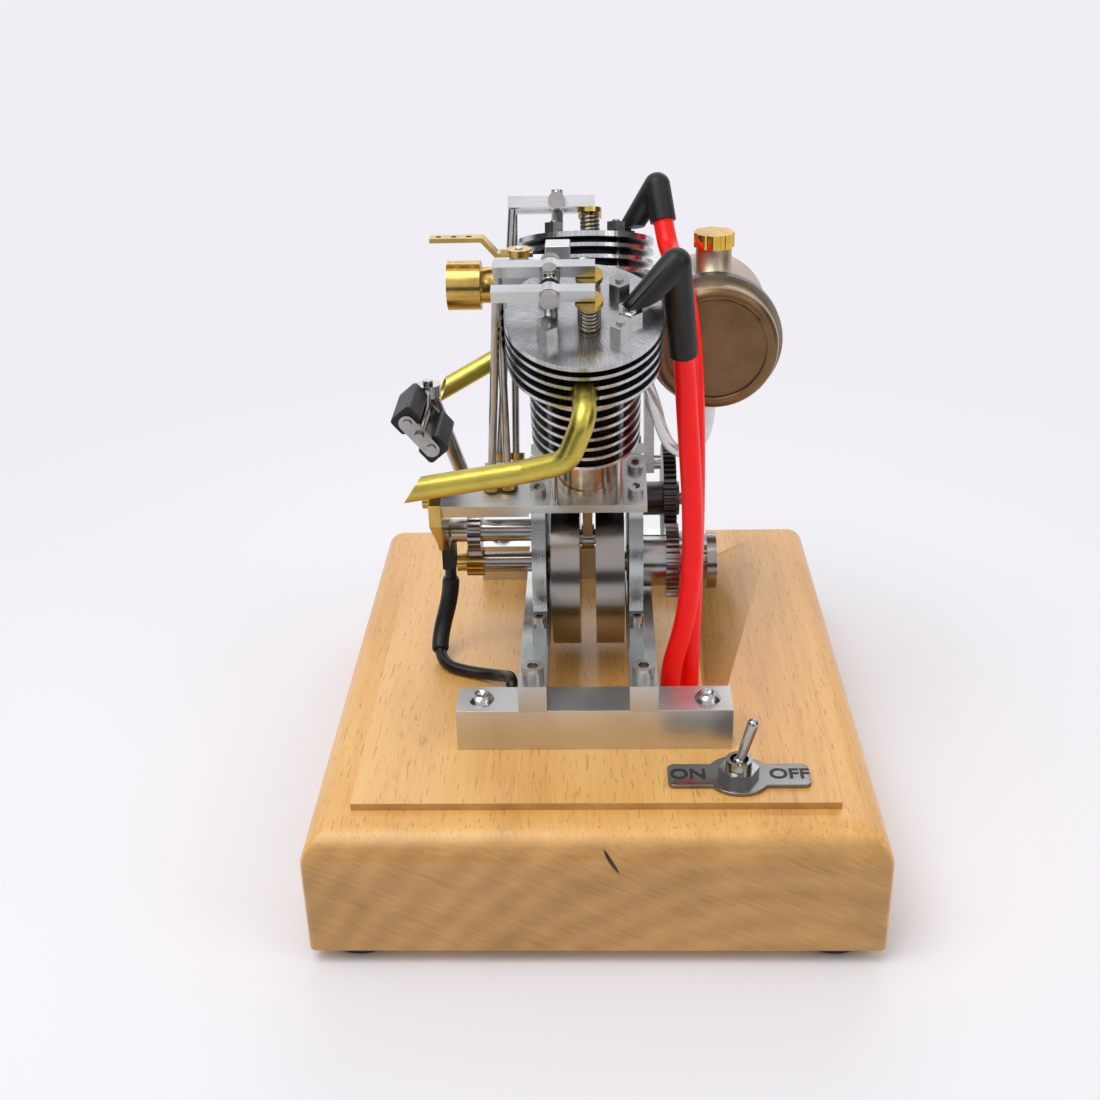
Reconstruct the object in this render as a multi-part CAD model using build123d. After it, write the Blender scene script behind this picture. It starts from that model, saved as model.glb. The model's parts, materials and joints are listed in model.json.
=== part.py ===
from build123d import *
import math
import os

# A display model of an overhead-valve V-twin petrol engine on a beech base, in millimetres.
# X runs along the crankshaft, -Y is the front, +Z is up; the origin is on the resting plane.

# ---- base
BASE_WIDTH = 130.0
BASE_DEPTH = 160.0
FOOT_HEIGHT = 4.0
FOOT_RADIUS = 9.0
FOOT_INSET = 11.0
PANEL_TOP = 36.7
PANEL_RISE = 1.8
PANEL_INSET = 10.6
EDGE_ROUND = 8.5
BASE_BOTTOM_EASE = 2.0
# ---- frame that carries the engine
ENGINE_X = -1.35
BAR_LENGTH = 64.2
BAR_SECTION = 10.65
BAR_Y = 43.15
BAR_SCREW_X = 26.5
RAIL_WIDTH = 6.6
RAIL_OFFSET = 12.85
RAIL_HEIGHT = 6.8
NOTCH_DEPTH = 0.35
PLATE_INNER = 10.0
PLATE_THICK = 3.4
LUG_Y = 29.2
LUG_HEIGHT = 4.4
SCREW_RADIUS = 1.5
SCREW_HEAD_RADIUS = 2.6
SCREW_HEAD_HEIGHT = 2.6
# ---- crankshaft
CRANK_Z = 61.6
WEB_RADIUS = 21.0
WEB_THICK = 7.0
WEB_GAP = 3.9
CRANK_THROW = 7.0
CRANK_PIN_RADIUS = 2.0
RING_RADIUS = 3.2
RING_WIDTH = 3.2
SHAFT_RADIUS = 2.6
BEARING_RADIUS = 5.0
STUB_RADIUS = 1.5
RUNNING = 0.05
# ---- timing gears
MODULE = 0.5
PINION_TEETH = 12
CAM_TEETH = 24
CAM_SHAFT_RADIUS = 2.8
CRANK_GEAR_X = (-32.4, -27.9)
CAM_GEAR_X = (-31.6, -28.3)
END_PLATE_X = -39.2
END_PLATE_THICK = 3.0
# ---- kick start
KICK_Y = 22.0
KICK_TEETH = 57
CLUTCH_TEETH = 36
KICK_GEAR_X = (18.3, 21.6)
KICK_SHAFT_RADIUS = 1.75
KICK_BOSS_RADIUS = 5.0
CLUTCH_RADIUS = 6.6
ARM_RADIUS = 1.9
ARM_X = -33.3
# ---- cylinders
TILT = 22.5
DECK_LEVEL = 30.0
DECK_THICK = 2.6
DECK_WIDTH = 28.3
DECK_HALF = 8.4
LINER_RADIUS = 6.75
BORE_RADIUS = 5.0
BARREL_BOTTOM = 46.2
BARREL_FINS = 7
FIN_PITCH = 3.0
FIN_THICK = 0.9
BARREL_FIN_RADIUS = 12.6
BARREL_CORE_RADIUS = 8.6
HEAD_BOTTOM = 66.4
HEAD_TOP = 81.2
HEAD_FINS = 5
HEAD_PITCH = 2.8
HEAD_FIN_RADIUS = 17.2
HEAD_CORE_RADIUS = 11.2
STUD_RADIUS = 0.9
STUD_X = 7.7
STUD_S = 7.0
NUT_FLATS = 4.4
NUT_HEIGHT = 3.4
STROKE = 14.0
PISTON_CROWN = 50.0
PISTON_LENGTH = 9.0
# ---- valve gear, on each head
VALVE_X = 1.2
VALVE_S = 4.1
STEM_RADIUS = 0.8
SPRING_HEIGHT = 6.2
SPRING_RADIUS = 2.5
RETAINER_RADIUS = 3.0
RETAINER_THICK = 1.2
ROCKER_X = -7.0
ROCKER_REACH = 12.2
ROCKER_DEPTH = 2.8
ROCKER_WIDTH = 2.5
ROCKER_LASH = 0.25
ROCKER_SHAFT_RADIUS = 1.0
POST_RADIUS = 1.5
PUSHROD_RADIUS = 0.95
BLOCK_THICK = 3.8
BLOCK_S = (-0.5, 8.4)
# ---- carburettor
CARB_Z = 134.4
BELL_RADIUS = 5.7
BELL_X = (-33.4, -22.4)
CARB_X = (-22.4, -4.6)
CARB_HALF = 4.6
CARB_TOP = 140.4
MANIFOLD_RADIUS = 3.0
LEVER_PIVOT_X = -16.5
# ---- fuel tank
TANK_X = 30.2
TANK_Z = 116.0
TANK_RADIUS = 15.4
TANK_RING_RADIUS = 16.8
TANK_FRONT = 5.0
TANK_RING_Y = 11.5
TANK_BACK = 40.0
TANK_WALL = 1.2
NECK_Y = 20.0
NECK_RADIUS = 4.4
NECK_TOP = 137.6
CAP_RADIUS = 5.0
CAP_HEIGHT = 3.5
# ---- pipes, leads and switch
PIPE_RADIUS = 2.6
PIPE_WALL = 0.5
LEAD_RADIUS = 2.5
CABLE_RADIUS = 1.5
HOSE_RADIUS = 1.5
SWITCH_X = 32.5
SWITCH_Y = -60.0
BUSHING_RADIUS = 3.0
SWITCH_LEAN = 15.0
GROUND = FOOT_HEIGHT

SIDES = {"front": -1, "rear": 1}
SIN, COS = math.sin(math.radians(TILT)), math.cos(math.radians(TILT))
CAM_Z = CRANK_Z + MODULE * (PINION_TEETH + CAM_TEETH) / 2
KICK_REACH = MODULE * (KICK_TEETH + CLUTCH_TEETH) / 2
KICK_Z = CRANK_Z + math.sqrt(KICK_REACH**2 - KICK_Y**2)
BAR_TOP = PANEL_TOP + BAR_SECTION
RAIL_BOTTOM = BAR_TOP - NOTCH_DEPTH
RAIL_TOP = RAIL_BOTTOM + RAIL_HEIGHT
DECK_UNDER = DECK_LEVEL - DECK_THICK
PLATE_OUTER = PLATE_INNER + PLATE_THICK
ROCKER_LEVEL = HEAD_TOP + SPRING_HEIGHT + RETAINER_THICK + ROCKER_LASH + ROCKER_DEPTH / 2

os.makedirs("parts", exist_ok=True)


def save(name, *solids):
    """Write a node; separate solids stay separate."""
    whole = Compound(children=list(solids)) if len(solids) > 1 else solids[0]
    export_step(whole, f"parts/{name}.step")


def rod(start, end, radius):
    start, end = Vector(*start), Vector(*end)
    span = end - start
    return Solid.make_cylinder(radius, span.length, Plane(origin=start, z_dir=span))


def xrod(x0, x1, y, z, radius):
    return rod((x0, y, z), (x1, y, z), radius)


def zrod(x, y, z0, z1, radius):
    return rod((x, y, z0), (x, y, z1), radius)


def block(x0, x1, y0, y1, z0, z1):
    return Solid.make_box(x1 - x0, y1 - y0, z1 - z0, Plane(origin=(x0, y0, z0)))


def tube_ring(start, end, outer, inner):
    return rod(start, end, outer) - rod(start, end, inner)


def at(side, x, s, h):
    """A point of a cylinder: x along the crank, s outwards, h up its axis from the crank centre."""
    return (ENGINE_X + x, side * (h * SIN + s * COS), CRANK_Z + h * COS - s * SIN)


def tilted(side, x, s, h):
    """A plane at such a point, square to the cylinder's axis."""
    return Plane(origin=at(side, x, s, h), x_dir=(1, 0, 0), z_dir=(0, side * SIN, COS))


def tilted_box(side, x0, x1, s0, s1, h0, h1):
    low, high = sorted((side * s0, side * s1))
    plane = Plane(origin=at(side, x0, side * low, h0), x_dir=(1, 0, 0), z_dir=(0, side * SIN, COS))
    return Solid.make_box(x1 - x0, high - low, h1 - h0, plane)


def axial(side, x, s, h0, h1, radius):
    return rod(at(side, x, s, h0), at(side, x, s, h1), radius)


def yz_plate(points, x0, x1):
    wire = Polyline([(x0, y, z) for y, z in points], close=True)
    return Solid.extrude(Face(Wire(wire.edges())), Vector(x1 - x0, 0, 0))


def hexagon(origin, direction, flats, height):
    plane = Plane(origin=origin, z_dir=direction)
    sketch = plane * RegularPolygon(flats / 2, 6, major_radius=False)
    return extrude(sketch, height, dir=plane.z_dir).solid()


def gear(teeth, x0, x1, y, z, phase):
    """A spur gear along X, with a tooth centred on the angle phase, in degrees from +Y towards +Z."""
    pitch = MODULE * teeth / 2
    step = 2 * math.pi / teeth
    widths = ((pitch - 1.2 * MODULE, 0.29), (pitch, 0.2), (pitch + 0.9 * MODULE, 0.1))
    corners = []
    for tooth in range(teeth):
        middle = math.radians(phase) + tooth * step
        for radius, share in widths:
            corners.append((radius, middle - share * step))
        for radius, share in reversed(widths):
            corners.append((radius, middle + share * step))
    points = [(y + r * math.cos(a), z + r * math.sin(a)) for r, a in corners]
    return yz_plate(points, x0, x1)


def socket_screw(seat, direction, length, head_radius=SCREW_HEAD_RADIUS, head=SCREW_HEAD_HEIGHT):
    """A socket-head screw: shank below the seat, head with a hexagon socket above it."""
    up = Vector(*direction).normalized()
    seat = Vector(*seat)
    body = rod(seat, seat + up * head, head_radius) + rod(seat - up * length, seat, SCREW_RADIUS)
    socket = hexagon(seat + up * head * 0.45, up, head_radius * 0.95, head)
    return (body - socket).solid()


def button_screw(seat, length, head_radius=3.1, head=2.0):
    """A button-head screw standing up along Z."""
    dome_radius = (head_radius**2 + head**2) / (2 * head)
    x, y, z = seat
    ball = Solid.make_sphere(dome_radius, Plane(origin=(x, y, z + head - dome_radius)))
    dome = ball & zrod(x, y, z, z + head + 1, head_radius)
    shank = zrod(x, y, z - length, z, SCREW_RADIUS)
    return (dome + shank - hexagon((x, y, z + head * 0.4), (0, 0, 1), 2.5, head)).solid()


def cord_tube(name, points, radius):
    """A tube of straight runs joined by tangent arcs, as large as the runs beside each corner allow."""
    stations = [Vector(*p) for p in points]
    radii = []
    for before, corner, after in zip(stations, stations[1:], stations[2:]):
        run = min((corner - before).length, (after - corner).length)
        turn = math.radians((corner - before).get_angle(after - corner))
        radii.append(0.45 * run / math.tan(turn / 2))
    path = FilletPolyline(*stations, radius=radii)
    section = Plane(origin=stations[0], z_dir=stations[1] - stations[0]) * Circle(radius)
    tube = sweep(section, path=path).solid()
    ideal = math.pi * radius**2 * path.length
    print(f"{name}: length {path.length:.1f} volume ratio {tube.volume / ideal:.4f} radii",
          [round(r, 1) for r in radii])
    return tube


# ---- wooden base with its feet and the ignition box let into its underside
def wood_base():
    body = Box(BASE_WIDTH, BASE_DEPTH, PANEL_TOP - PANEL_RISE - GROUND)
    body = Pos(0, 0, (PANEL_TOP - PANEL_RISE + GROUND) / 2) * body
    top_edges = body.faces().sort_by(Axis.Z)[-1].edges()
    body = fillet(top_edges, EDGE_ROUND)
    body = fillet(body.edges().filter_by(Axis.Z), BASE_BOTTOM_EASE)
    panel = block(-BASE_WIDTH / 2 + PANEL_INSET, BASE_WIDTH / 2 - PANEL_INSET,
                  -BASE_DEPTH / 2 + PANEL_INSET, BASE_DEPTH / 2 - PANEL_INSET,
                  PANEL_TOP - PANEL_RISE - 1, PANEL_TOP)
    body = body + panel
    body = body - block(*IGNITION_POCKET) - block(*SWITCH_POCKET)
    body = body - zrod(SWITCH_X, SWITCH_Y, GROUND, PANEL_TOP + 1, BUSHING_RADIUS + 0.1)
    for x in (-1, 1):
        for y in (-1, 1):
            body = body - zrod(x * BAR_SCREW_X, y * BAR_Y, PANEL_TOP - 12, PANEL_TOP + 1, SCREW_RADIUS + 0.05)
    return body.solid()


IGNITION_POCKET = (-30.0, 30.0, -20.0, 40.0, GROUND, 24.0)
POCKET_PLAY = 0.4
SWITCH_BODY_HALF = 6.5
SWITCH_BODY_TOP = PANEL_TOP - 3.0
SWITCH_POCKET = (SWITCH_X - SWITCH_BODY_HALF - POCKET_PLAY, SWITCH_X + SWITCH_BODY_HALF + POCKET_PLAY,
                 SWITCH_Y - SWITCH_BODY_HALF - POCKET_PLAY, SWITCH_Y + SWITCH_BODY_HALF + POCKET_PLAY,
                 GROUND, SWITCH_BODY_TOP)
save("wood_base", wood_base())

ix0, ix1, iy0, iy1, iz0, iz1 = IGNITION_POCKET
save("ignition_box", block(ix0 + POCKET_PLAY, ix1 - POCKET_PLAY, iy0 + POCKET_PLAY, iy1 - POCKET_PLAY,
                           iz0 + 1, iz1))


def foot(x, y):
    cup = zrod(x, y, 0, FOOT_HEIGHT, FOOT_RADIUS)
    return fillet(cup.edges().sort_by(Axis.Z)[0], FOOT_HEIGHT * 0.6).solid()


foot_x = BASE_WIDTH / 2 - FOOT_INSET
foot_y = BASE_DEPTH / 2 - FOOT_INSET
save("rubber_feet", *[foot(x, y) for x in (-foot_x, foot_x) for y in (-foot_y, foot_y)])


# ---- cross bars, side rails and their screws
def cross_bar(side):
    y = side * BAR_Y
    half = BAR_SECTION / 2
    bar = block(-BAR_LENGTH / 2, BAR_LENGTH / 2, y - half, y + half, PANEL_TOP, BAR_TOP)
    for rail in (-1, 1):
        middle = ENGINE_X + rail * RAIL_OFFSET
        bar = bar - block(middle - RAIL_WIDTH / 2, middle + RAIL_WIDTH / 2, y - half - 1, y + half + 1,
                          RAIL_BOTTOM, BAR_TOP + 1)
        bar = bar - zrod(middle, y, BAR_TOP - 7, BAR_TOP + 1, SCREW_RADIUS + 0.05)
        bar = bar - zrod(rail * BAR_SCREW_X, y, PANEL_TOP - 1, BAR_TOP + 1, SCREW_RADIUS + 0.05)
    return bar.solid()


save("cross_bars", cross_bar(-1), cross_bar(1))
save("bar_screws", *[button_screw((x, y, BAR_TOP), BAR_SECTION + 9)
                     for x in (-BAR_SCREW_X, BAR_SCREW_X) for y in (-BAR_Y, BAR_Y)])


def side_rail(side):
    middle = ENGINE_X + side * RAIL_OFFSET
    reach = BAR_Y + BAR_SECTION / 2
    rail = block(middle - RAIL_WIDTH / 2, middle + RAIL_WIDTH / 2, -reach, reach, RAIL_BOTTOM, RAIL_TOP)
    for y in (-1, 1):
        rail = rail - zrod(middle, y * BAR_Y, RAIL_BOTTOM - 1, RAIL_TOP + 1, SCREW_RADIUS + 0.05)
        lug_x = ENGINE_X + side * (PLATE_INNER + PLATE_THICK / 2)
        rail = rail - zrod(lug_x, y * (LUG_Y - 2.8), RAIL_BOTTOM, RAIL_TOP + 1, SCREW_RADIUS + 0.05)
    return rail.solid()


save("side_rails", side_rail(-1), side_rail(1))


# ---- crankcase side plates
def side_plate(side):
    inner, outer = sorted((ENGINE_X + side * PLATE_INNER, ENGINE_X + side * PLATE_OUTER))
    shoulder = at(1, 0, DECK_HALF, DECK_UNDER)[1:]
    ridge = (0, CRANK_Z + DECK_UNDER / COS)
    half = [(LUG_Y, RAIL_TOP), (LUG_Y, RAIL_TOP + LUG_HEIGHT), (20.5, RAIL_TOP + LUG_HEIGHT), (22.0, 64.0),
            (22.3, 70.0), (21.5, 76.0), (shoulder[0], 81.0), shoulder]
    outline = half + [ridge] + [(-y, z) for y, z in reversed(half)]
    plate = yz_plate(outline, inner, outer)
    plate = plate + xrod(inner, outer, KICK_Y, KICK_Z, KICK_BOSS_RADIUS)
    plate = plate - xrod(inner - 1, outer + 1, KICK_Y, KICK_Z, KICK_SHAFT_RADIUS + RUNNING)
    plate = plate - xrod(inner - 1, outer + 1, 0, CRANK_Z, BEARING_RADIUS)
    for y in (-1, 1):
        lug_y = y * (LUG_Y - 2.8)
        plate = plate - zrod((inner + outer) / 2, lug_y, RAIL_TOP - 1, RAIL_TOP + 9, SCREW_RADIUS + 0.05)
        plate = plate - zrod((inner + outer) / 2, lug_y, RAIL_TOP + LUG_HEIGHT, RAIL_TOP + 12,
                             SCREW_HEAD_RADIUS + 0.1)
    if side < 0:
        plate = plate - xrod(inner - 1, outer + 1, 0, CAM_Z, STUB_RADIUS + RUNNING)
        for y in SIDES.values():
            for x in (-1, 1):
                plate = plate - axial(y, side * 11.7, x * 3.9, DECK_UNDER - 6, DECK_UNDER + 1,
                                      1.15)
    else:
        for y in SIDES.values():
            for x in (-1, 1):
                plate = plate - axial(y, side * 11.7, x * 3.9, DECK_UNDER - 6, DECK_UNDER + 1, 1.15)
    return plate.solid()


save("side_plates", side_plate(-1), side_plate(1))


def main_bearing(side):
    inner = ENGINE_X + side * (PLATE_INNER - 0.2)
    outer = ENGINE_X + side * PLATE_OUTER
    return tube_ring((inner, 0, CRANK_Z), (outer, 0, CRANK_Z), BEARING_RADIUS - 0.02, SHAFT_RADIUS + RUNNING)


save("main_bearings", main_bearing(-1), main_bearing(1))


def deck_plate(side):
    centre = (-15.3 + 13.0) / 2 - ENGINE_X
    plate = tilted_box(side, centre - DECK_WIDTH / 2, centre + DECK_WIDTH / 2, -DECK_HALF, DECK_HALF,
                       DECK_UNDER, DECK_LEVEL)
    plate = plate - axial(side, 0, 0, DECK_UNDER - 1, DECK_LEVEL + 1, LINER_RADIUS + 0.02)
    for x in (-1, 1):
        for s in (-1, 1):
            plate = plate - axial(side, x * STUD_X, s * STUD_S, DECK_UNDER - 1, DECK_LEVEL + 1,
                                  STUD_RADIUS + 0.02)
            plate = plate - axial(side, x * 11.7, s * 3.9, DECK_UNDER - 1, DECK_LEVEL + 1, 1.15)
    return plate.solid()


save("deck_plates", *[deck_plate(side) for side in SIDES.values()])


def small_screw(seat, direction, length, shank, head_radius=2.1, head=2.1):
    up = Vector(*direction).normalized()
    seat = Vector(*seat)
    body = rod(seat, seat + up * head, head_radius) + rod(seat - up * length, seat, shank)
    return (body - hexagon(seat + up * head * 0.4, up, head_radius, head)).solid()


def frame_screws():
    screws = []
    for side in (-1, 1):
        for y in (-1, 1):
            rail_x = ENGINE_X + side * RAIL_OFFSET
            screws.append(socket_screw((rail_x, y * BAR_Y, RAIL_TOP), (0, 0, 1), RAIL_HEIGHT + 5))
            lug_x = ENGINE_X + side * (PLATE_INNER + PLATE_THICK / 2)
            screws.append(small_screw((lug_x, y * (LUG_Y - 2.8), RAIL_TOP + LUG_HEIGHT), (0, 0, 1),
                                      LUG_HEIGHT + 4, 1.4, 1.65))
            for s in (-1, 1):
                screws.append(small_screw(at(y, side * 11.7, s * 3.9, DECK_LEVEL), (0, y * SIN, COS),
                                          DECK_THICK + 5, 1.1, 1.9, 1.9))
    return screws


save("frame_screws", *frame_screws())


# ---- cylinders and heads
def notch_cuts(side):
    """Cutters that let the pushrods past the rim of a head."""
    return [rod(foot_point, head_point, PUSHROD_RADIUS + 1.0) for foot_point, head_point in pushrod_ends(side)]


def pushrod_ends(side):
    top = ROCKER_LEVEL - ROCKER_DEPTH / 2 - ROCKER_LASH
    head_points = [at(side, ROCKER_X - ROCKER_REACH + 1, s, top) for s in (VALVE_S, -VALVE_S)]
    level = block_level(side) - BLOCK_THICK + 0.3
    if side < 0:
        feet = [at(side, -23.2, 2.0, level), at(side, -18.9, 2.4, level)]
    else:
        feet = [at(side, -18.6, 6.2, level), at(side, -22.8, 1.8, level)]
    return list(zip(feet, head_points))


def block_level(side):
    return DECK_LEVEL if side < 0 else DECK_LEVEL - 4.5


def barrel(side):
    body = axial(side, 0, 0, DECK_UNDER, HEAD_BOTTOM, LINER_RADIUS)
    body = body + axial(side, 0, 0, DECK_LEVEL, DECK_LEVEL + 3.2, LINER_RADIUS + 0.35)
    body = body + axial(side, 0, 0, BARREL_BOTTOM, HEAD_BOTTOM, BARREL_CORE_RADIUS)
    for fin in range(BARREL_FINS):
        level = BARREL_BOTTOM + fin * FIN_PITCH
        body = body + axial(side, 0, 0, level, level + FIN_THICK, BARREL_FIN_RADIUS)
    body = body - axial(side, 0, 0, DECK_UNDER - 1, HEAD_BOTTOM - 1.2, BORE_RADIUS)
    for x in (-1, 1):
        for s in (-1, 1):
            body = body - axial(side, x * STUD_X, s * STUD_S, BARREL_BOTTOM - 1, HEAD_BOTTOM + 1,
                                STUD_RADIUS + 0.02)
    return body.solid()


save("cylinder_barrels", *[barrel(side) for side in SIDES.values()])

PORT_LEVEL = 73.5
HEAD_PLATE = 1.3


def head(side):
    body = axial(side, 0, 0, HEAD_BOTTOM, HEAD_TOP, HEAD_CORE_RADIUS)
    body = body + axial(side, 0, 0, HEAD_TOP - HEAD_PLATE, HEAD_TOP, HEAD_FIN_RADIUS)
    for fin in range(1, HEAD_FINS):
        level = HEAD_TOP - fin * HEAD_PITCH - FIN_THICK
        body = body + axial(side, 0, 0, level, level + FIN_THICK, HEAD_FIN_RADIUS)
    for x in (-1, 1):
        for s in (-1, 1):
            body = body - axial(side, x * STUD_X, s * STUD_S, HEAD_BOTTOM - 1, HEAD_TOP + 1,
                                STUD_RADIUS + 0.02)
    for s in (-1, 1):
        body = body - axial(side, VALVE_X, s * VALVE_S, HEAD_TOP - 7, HEAD_TOP + 1, STEM_RADIUS + RUNNING)
    for cutter in notch_cuts(side):
        body = body - cutter
    body = body - axial(side, ROCKER_X, 0, HEAD_TOP - 4, HEAD_TOP + 1, POST_RADIUS + 0.02)
    body = body - axial(side, PLUG_X, PLUG_S, HEAD_TOP - 5, HEAD_TOP + 1, PLUG_THREAD_RADIUS + 0.02)
    body = body - rod(at(side, 0, 11.8, PORT_LEVEL), at(side, 0, 20, PORT_LEVEL), PIPE_RADIUS + 0.35)
    body = body - rod((ENGINE_X, side * 6, CARB_Z), (ENGINE_X, side * 14.2, CARB_Z), MANIFOLD_RADIUS + 0.05)
    return body.solid()


PLUG_X = 10.0
PLUG_S = 1.0
PLUG_THREAD_RADIUS = 1.6
PLUG_TALL = 3.0
save("cylinder_heads", *[head(side) for side in SIDES.values()])


def studs(side):
    return [axial(side, x * STUD_X, s * STUD_S, DECK_UNDER, HEAD_TOP + NUT_HEIGHT + 0.6, STUD_RADIUS)
            for x in (-1, 1) for s in (-1, 1)]


def nuts(side):
    made = []
    for x in (-1, 1):
        for s in (-1, 1):
            seat = at(side, x * STUD_X, s * STUD_S, HEAD_TOP)
            nut = hexagon(seat, (0, side * SIN, COS), NUT_FLATS, NUT_HEIGHT)
            made.append((nut - axial(side, x * STUD_X, s * STUD_S, HEAD_TOP - 1, HEAD_TOP + 9,
                                     STUD_RADIUS + 0.02)).solid())
    return made


save("head_studs", *[stud for side in SIDES.values() for stud in studs(side)])
save("head_nuts", *[nut for side in SIDES.values() for nut in nuts(side)])


# ---- spark plugs, each with a rubber boot that turns down over its lead
def spark_plug(side):
    up = (0, side * SIN, COS)
    plug = axial(side, PLUG_X, PLUG_S, HEAD_TOP - 5, HEAD_TOP, PLUG_THREAD_RADIUS)
    plug = plug + hexagon(at(side, PLUG_X, PLUG_S, HEAD_TOP), up, 5.0, 2.2)
    plug = plug + axial(side, PLUG_X, PLUG_S, HEAD_TOP + 2.2, HEAD_TOP + PLUG_TALL, 1.7)
    return plug.solid()


# each boot's elbow and the open end of its sleeve
BOOT_ROUTES = {"front": [(18.4, -28.0, 146.6), (20.8, -20.6, 124.0)],
               "rear": [(16.6, 29.8, 150.4), (18.0, 25.6, 142.6)]}
BOOT_RADIUS = 3.25
BOOT_TIP_RADIUS = 2.7
SOCKET_DEPTH = 3.0
EXIT_RUN = 5.0
BOOT_GAP = 0.3
HEAD_ROOM = 8.0


def boot(name):
    side = SIDES[name]
    start = at(side, PLUG_X, PLUG_S, HEAD_TOP + 1.0)
    elbow, bottom = BOOT_ROUTES[name]
    neck_plane = Plane(origin=start, z_dir=Vector(*elbow) - Vector(*start))
    length = (Vector(*elbow) - Vector(*start)).length
    neck = Solid.make_cone(BOOT_TIP_RADIUS, BOOT_RADIUS, length, neck_plane)
    sleeve = rod(elbow, bottom, BOOT_RADIUS)
    body = neck + Solid.make_sphere(BOOT_RADIUS, Plane(origin=elbow)) + sleeve
    socket = rod(Vector(*bottom) + (Vector(*elbow) - Vector(*bottom)).normalized() * SOCKET_DEPTH, bottom,
                 LEAD_RADIUS + 0.02)
    head_room = axial(side, 0, 0, HEAD_TOP - HEAD_ROOM, HEAD_TOP + BOOT_GAP, HEAD_FIN_RADIUS + BOOT_GAP)
    return (body - socket - head_room - axial(side, PLUG_X, PLUG_S, HEAD_TOP - 2, HEAD_TOP + PLUG_TALL + 0.05, 7.0)).solid()


save("spark_plugs", *[spark_plug(side) for side in SIDES.values()])
save("plug_boots", boot("front"), boot("rear"))


# ---- valve gear
def spring(side, s):
    return tube_ring(at(side, VALVE_X, s, HEAD_TOP), at(side, VALVE_X, s, HEAD_TOP + SPRING_HEIGHT),
                     SPRING_RADIUS, SPRING_RADIUS - 0.6)


def valve(side, s):
    top = HEAD_TOP + SPRING_HEIGHT + RETAINER_THICK
    stem = axial(side, VALVE_X, s, HEAD_TOP - 5, top, STEM_RADIUS)
    return (stem + axial(side, VALVE_X, s, HEAD_TOP + SPRING_HEIGHT, top, RETAINER_RADIUS)).solid()


def rocker(side, s):
    """A rocker along X: a hub round the shaft, a short arm to the valve and a long one to the pushrod."""
    half = ROCKER_WIDTH / 2
    low, high = ROCKER_LEVEL - ROCKER_DEPTH / 2, ROCKER_LEVEL + ROCKER_DEPTH / 2
    arm = tilted_box(side, ROCKER_X - ROCKER_REACH, VALVE_X + 1.3, s - half, s + half, low, high)
    hub = rod(at(side, ROCKER_X, s - half, ROCKER_LEVEL), at(side, ROCKER_X, s + half, ROCKER_LEVEL), 2.1)
    bore = rod(at(side, ROCKER_X, s - 5, ROCKER_LEVEL), at(side, ROCKER_X, s + 5, ROCKER_LEVEL),
               ROCKER_SHAFT_RADIUS + RUNNING)
    return (arm + hub - bore).solid()


def rocker_stand(side):
    post = axial(side, ROCKER_X, 0, HEAD_TOP - 4, ROCKER_LEVEL + 3.6, POST_RADIUS)
    post = post + rod(at(side, ROCKER_X, -1.9, ROCKER_LEVEL), at(side, ROCKER_X, 1.9, ROCKER_LEVEL), 2.2)
    reach = VALVE_S + ROCKER_WIDTH / 2 + 0.2
    post = post + rod(at(side, ROCKER_X, -reach, ROCKER_LEVEL), at(side, ROCKER_X, reach, ROCKER_LEVEL),
                      ROCKER_SHAFT_RADIUS)
    for s in (-1, 1):
        post = post + rod(at(side, ROCKER_X, s * reach, ROCKER_LEVEL),
                          at(side, ROCKER_X, s * (reach + 1.3), ROCKER_LEVEL), 2.1)
    return post.solid()


save("rocker_stands", *[rocker_stand(side) for side in SIDES.values()])
save("valve_springs", *[spring(side, s) for side in SIDES.values() for s in (VALVE_S, -VALVE_S)])


def tappet_block(side):
    top = block_level(side)
    left = END_PLATE_X + END_PLATE_THICK if side < 0 else -27.5
    right = ENGINE_X - DECK_WIDTH / 2 + 0.2 if side < 0 else ENGINE_X - PLATE_OUTER
    body = tilted_box(side, left - ENGINE_X, right - ENGINE_X, BLOCK_S[0], BLOCK_S[1], top - BLOCK_THICK, top)
    for low, high in pushrod_ends(side):
        start = Vector(*low) - (Vector(*high) - Vector(*low)).normalized() * 3
        body = body - rod(start, high, PUSHROD_RADIUS + RUNNING)
    return body.solid()


def guide(low, high, side):
    way = (Vector(*high) - Vector(*low)).normalized()
    lift = BLOCK_THICK + 0.35
    start = Vector(*low) + way * lift
    return rod(start, start + way * 1.8, 2.3) - rod(low, high, PUSHROD_RADIUS + RUNNING)


save("tappet_blocks", *[tappet_block(side) for side in SIDES.values()])
save("tappet_guides", *[guide(low, high, side).solid() for side in SIDES.values()
                        for low, high in pushrod_ends(side)])

for cylinder, side in SIDES.items():
    for role, s, (low, high) in zip(("outer", "inner"), (VALVE_S, -VALVE_S), pushrod_ends(side)):
        save(f"{cylinder}_{role}_rocker", rocker(side, s))
        save(f"{cylinder}_{role}_valve", valve(side, s))
        save(f"{cylinder}_{role}_pushrod", rod(low, high, PUSHROD_RADIUS))


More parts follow.
